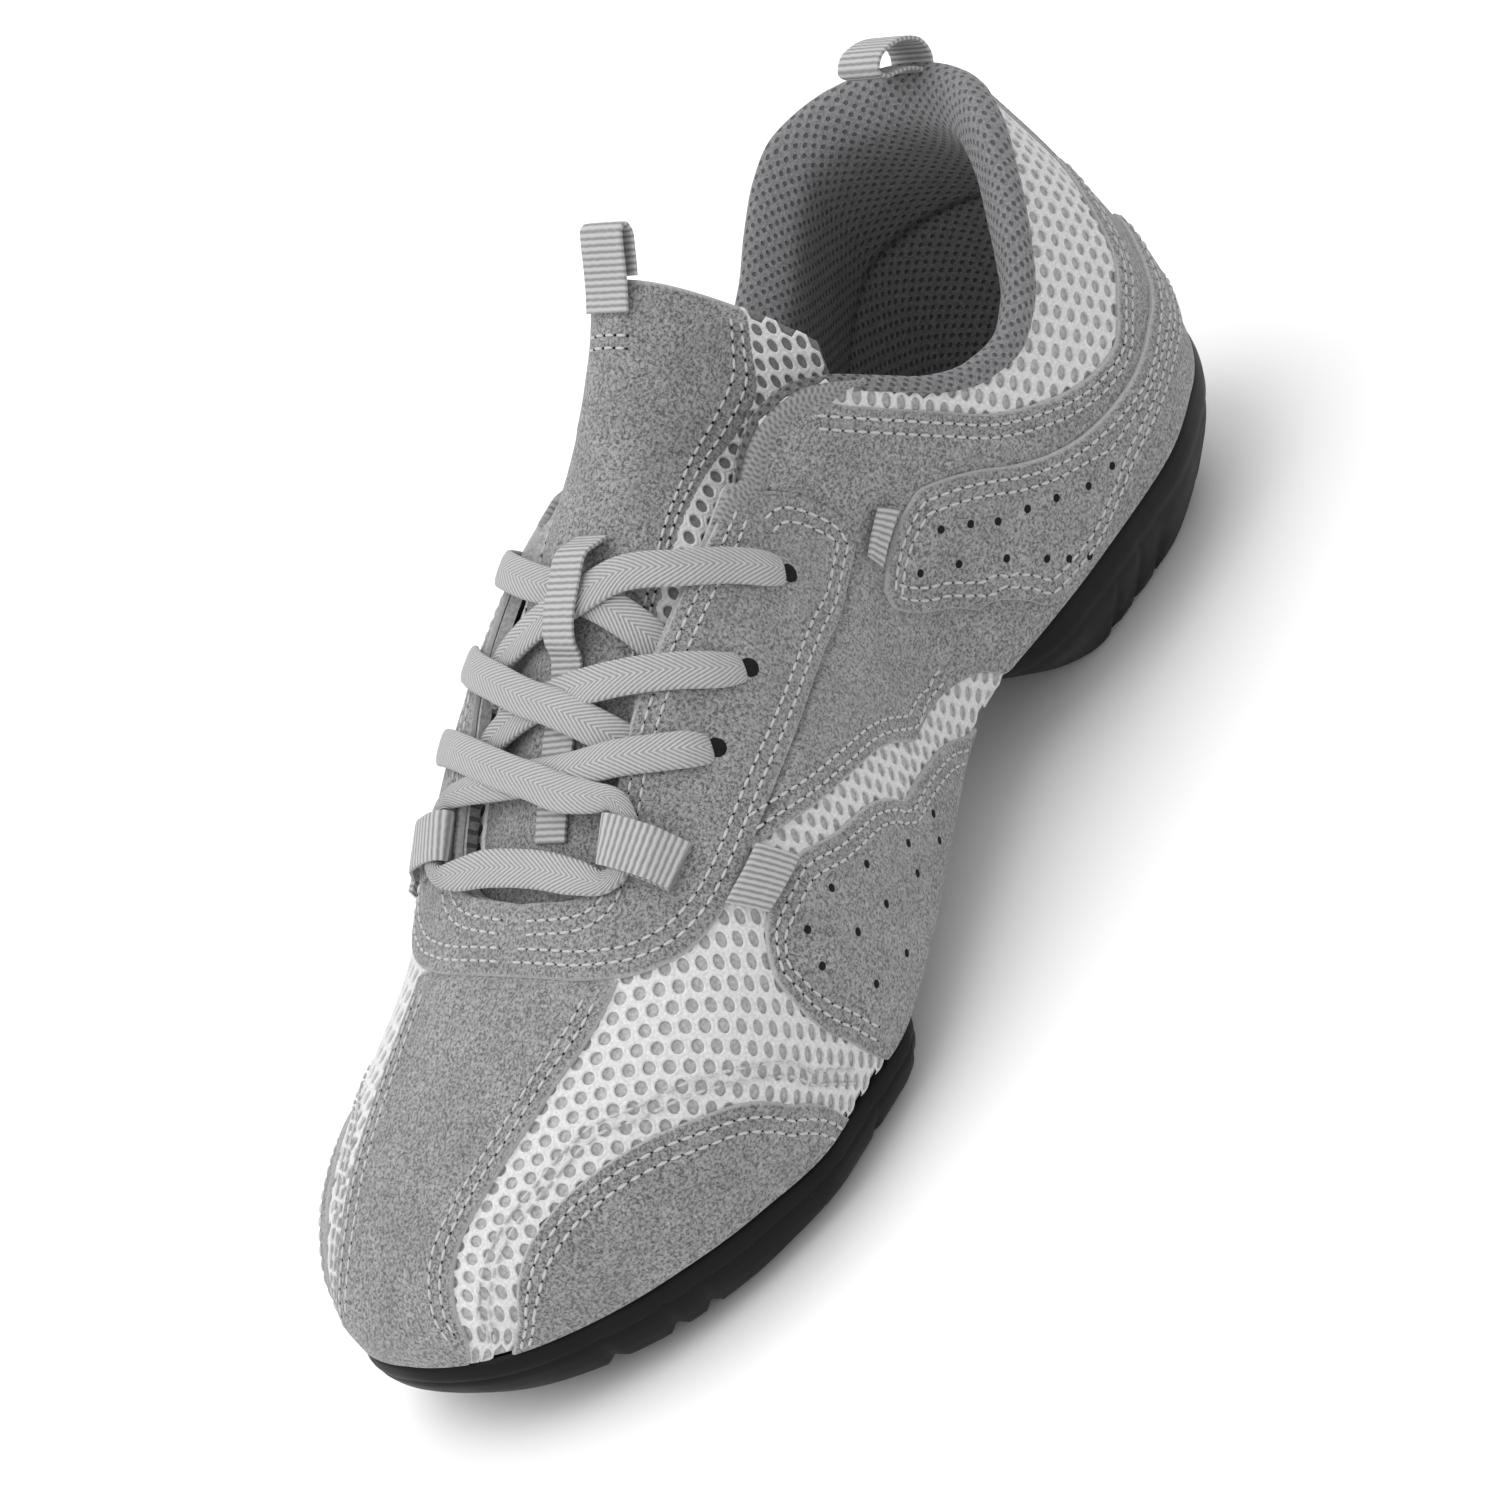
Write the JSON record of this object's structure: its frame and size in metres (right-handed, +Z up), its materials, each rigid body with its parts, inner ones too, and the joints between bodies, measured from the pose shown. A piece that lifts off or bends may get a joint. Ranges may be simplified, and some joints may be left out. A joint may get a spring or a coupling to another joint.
{
  "type": "dance sneaker",
  "caption": "Low split-sole dance sneaker: suede and open-mesh upper over an arched waist, padded collar and tongue, flat laces, webbing pull loops, black rubber heel and forefoot soles.",
  "frame": {"origin": "middle of the heel sole's flat contact face, on the floor", "axes": "+X toward the toe, +Y the outer (lateral) side of this left shoe, +Z up from the floor"},
  "size_m": [0.2738, 0.0999, 0.1345],
  "materials": {
    "upper": "pale open spacer mesh with a lining",
    "heel_sole": "satin black moulded rubber",
    "forefoot_sole": "satin black moulded rubber",
    "insole": "dark grey knit-covered foam",
    "collar_padding": "dark grey knit over foam",
    "tongue": "light grey suede over foam",
    "eyestay": "light grey suede",
    "toe_strip": "light grey suede",
    "backstay": "light grey suede",
    "toe_panel_lateral": "light grey suede",
    "toe_panel_medial": "light grey suede",
    "arch_panel_lateral": "light grey suede",
    "arch_panel_medial": "light grey suede",
    "quarter_lateral": "light grey suede",
    "quarter_medial": "light grey suede",
    "rear_panel_lateral": "light grey suede",
    "rear_panel_medial": "light grey suede",
    "front_tab_lateral": "ribbed webbing",
    "front_tab_medial": "ribbed webbing",
    "rear_tab_lateral": "ribbed webbing",
    "rear_tab_medial": "ribbed webbing",
    "lace_loop_lateral": "ribbed webbing",
    "lace_loop_medial": "ribbed webbing",
    "lace_front": "flat woven lace",
    "lace_middle": "flat woven lace",
    "lace_top": "flat woven lace",
    "heel_loop": "ribbed webbing",
    "tongue_loop": "ribbed webbing",
    "lace_keeper": "ribbed webbing"
  },
  "bodies": {
    "root": {"upper": "upper", "heel_sole": "heel_sole", "forefoot_sole": "forefoot_sole", "insole": "insole", "collar_padding": "collar_padding", "tongue": "tongue", "eyestay": "eyestay", "toe_strip": "toe_strip", "backstay": "backstay", "toe_panel_lateral": "toe_panel_lateral", "toe_panel_medial": "toe_panel_medial", "arch_panel_lateral": "arch_panel_lateral", "arch_panel_medial": "arch_panel_medial", "quarter_lateral": "quarter_lateral", "quarter_medial": "quarter_medial", "rear_panel_lateral": "rear_panel_lateral", "rear_panel_medial": "rear_panel_medial", "front_tab_lateral": "front_tab_lateral", "front_tab_medial": "front_tab_medial", "rear_tab_lateral": "rear_tab_lateral", "rear_tab_medial": "rear_tab_medial", "lace_loop_lateral": "lace_loop_lateral", "lace_loop_medial": "lace_loop_medial", "lace_front": "lace_front", "lace_middle": "lace_middle", "lace_top": "lace_top", "heel_loop": "heel_loop", "tongue_loop": "tongue_loop", "lace_keeper": "lace_keeper"}
  },
  "joints": []
}
